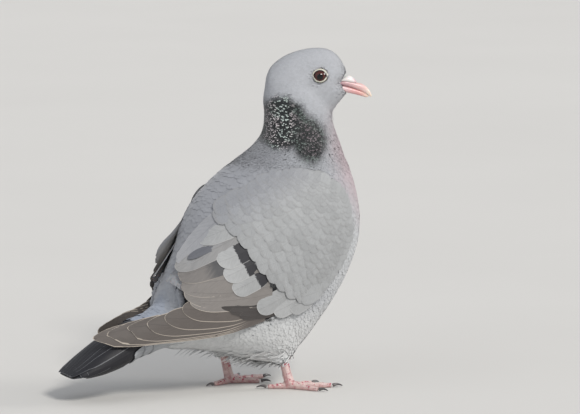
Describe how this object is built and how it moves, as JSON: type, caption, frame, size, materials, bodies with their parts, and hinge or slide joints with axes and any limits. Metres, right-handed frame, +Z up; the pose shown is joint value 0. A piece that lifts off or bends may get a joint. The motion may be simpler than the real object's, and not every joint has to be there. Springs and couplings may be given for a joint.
{
  "type": "stock dove",
  "caption": "A standing stock dove at life size, its head turned to one side, with folded wings, a closed tail and both feet flat on the floor; a still display model.",
  "frame": {"origin": "centre of the bird's bounding box in X and Y, at the level of its soles", "axes": "+X the way the body faces, +Y the bird's left side, +Z up"},
  "size_m": [0.2166, 0.0956, 0.2306],
  "materials": {
    "plumage": "soft, matt blue-grey feathers",
    "wing_plumage": "matt pale grey wing coverts",
    "flight_feathers": "dark grey-brown quills with fine pale edges",
    "tail_feathers": "blackish tail tip on a blue-grey base",
    "leg_skin": "pink scaled skin",
    "claw": "dark grey horn",
    "bill": "rose-red horn with a cream tip",
    "cere": "swollen white skin",
    "eye": "dark red-brown iris, black pupil, clear wet surface"
  },
  "bodies": {
    "root": {"head": "plumage", "neck": "plumage", "breast": "plumage", "belly": "plumage", "rump": "plumage", "thigh_right": "plumage", "thigh_left": "plumage", "coverts_right": "wing_plumage", "coverts_left": "wing_plumage", "tertials_right": "flight_feathers", "primaries_right": "flight_feathers", "tertials_left": "flight_feathers", "primaries_left": "flight_feathers", "tail": "tail_feathers", "tarsus_right": "leg_skin", "inner_toe_right": "leg_skin", "middle_toe_right": "leg_skin", "outer_toe_right": "leg_skin", "hind_toe_right": "leg_skin", "tarsus_left": "leg_skin", "inner_toe_left": "leg_skin", "middle_toe_left": "leg_skin", "outer_toe_left": "leg_skin", "hind_toe_left": "leg_skin", "inner_toe_claw_right": "claw", "middle_toe_claw_right": "claw", "outer_toe_claw_right": "claw", "hind_toe_claw_right": "claw", "inner_toe_claw_left": "claw", "middle_toe_claw_left": "claw", "outer_toe_claw_left": "claw", "hind_toe_claw_left": "claw", "bill_upper": "bill", "bill_lower": "bill", "cere": "cere", "eye_right": "eye", "eye_left": "eye"}
  },
  "joints": []
}
